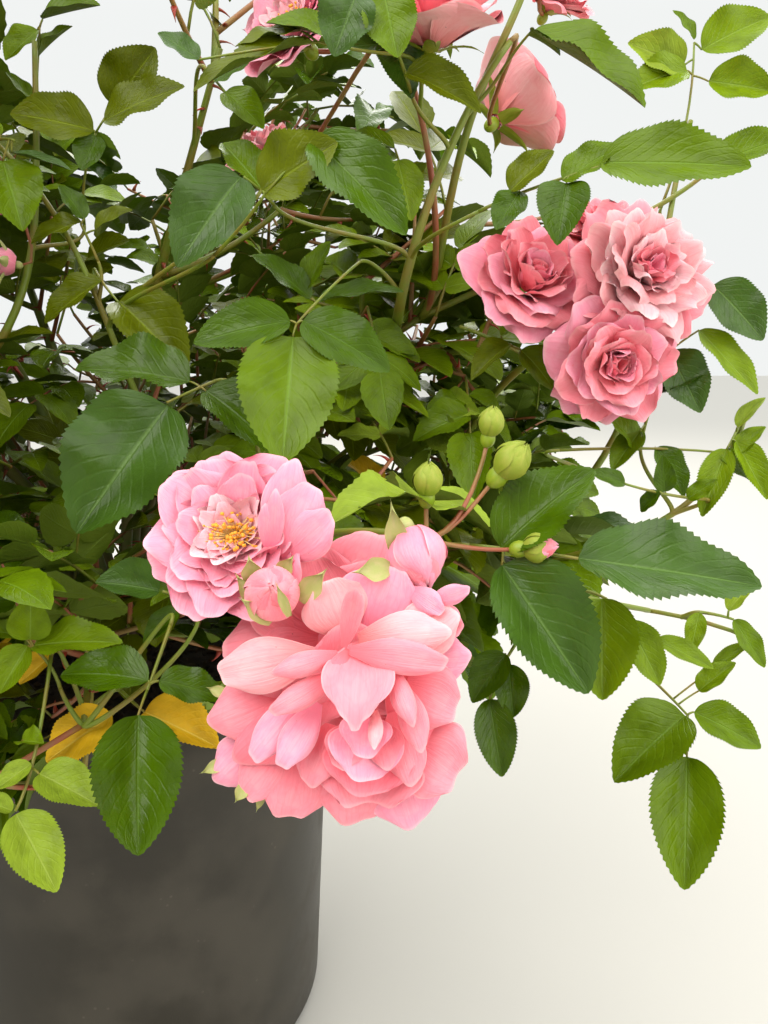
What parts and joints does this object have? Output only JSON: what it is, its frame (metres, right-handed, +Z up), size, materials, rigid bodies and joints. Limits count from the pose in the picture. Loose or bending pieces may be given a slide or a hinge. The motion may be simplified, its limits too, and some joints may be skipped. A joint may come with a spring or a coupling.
{
  "type": "potted rose bush",
  "caption": "Bushy miniature rose in a dark nursery pot: arching canes, masses of divided leaves, double roses and buds, standing on the pot's flat underside.",
  "frame": {"origin": "centre of the pot's flat underside, on the ground", "axes": "+Z up along the pot's axis, +X to the right and +Y away from the viewer of the picture, in metres"},
  "size_m": [0.5435, 0.566, 0.5395],
  "materials": {
    "pot_plastic": "dark warm grey nursery plastic, dusty, with dried water spots",
    "moist_compost": "moist crumbly compost with bark fibres",
    "bark": "grey-brown woody bark with fine ridges",
    "green_cane": "smooth green cane, reddish on the sunny side",
    "rose_leaf": "glossy dark green leaves, pink petals and pale green buds"
  },
  "bodies": {
    "root": {"pot": "pot_plastic", "compost": "moist_compost", "woody_foot": "bark", "cane_low_1": "green_cane", "cane_low_2": "green_cane", "cane_low_3": "green_cane", "cane_low_4": "green_cane", "cane_low_5": "green_cane", "cane_side_1": "green_cane", "cane_side_2": "green_cane", "cane_side_3": "green_cane", "cane_side_4": "green_cane", "cane_side_5": "green_cane", "cane_upper_1": "green_cane", "cane_upper_2": "green_cane", "cane_upper_3": "green_cane", "cane_upper_4": "green_cane", "cane_top_1": "green_cane", "cane_top_2": "green_cane", "cane_top_3": "green_cane", "cane_top_4": "green_cane", "foliage_low_1": "rose_leaf", "foliage_low_2": "rose_leaf", "foliage_low_3": "rose_leaf", "foliage_low_4": "rose_leaf", "foliage_low_5": "rose_leaf", "foliage_side_1": "rose_leaf", "foliage_side_2": "rose_leaf", "foliage_side_3": "rose_leaf", "foliage_side_4": "rose_leaf", "foliage_side_5": "rose_leaf", "foliage_upper_1": "rose_leaf", "foliage_upper_2": "rose_leaf", "foliage_upper_3": "rose_leaf", "foliage_upper_4": "rose_leaf", "foliage_top_1": "rose_leaf", "foliage_top_2": "rose_leaf", "foliage_top_3": "rose_leaf", "foliage_top_4": "rose_leaf"}
  },
  "joints": []
}
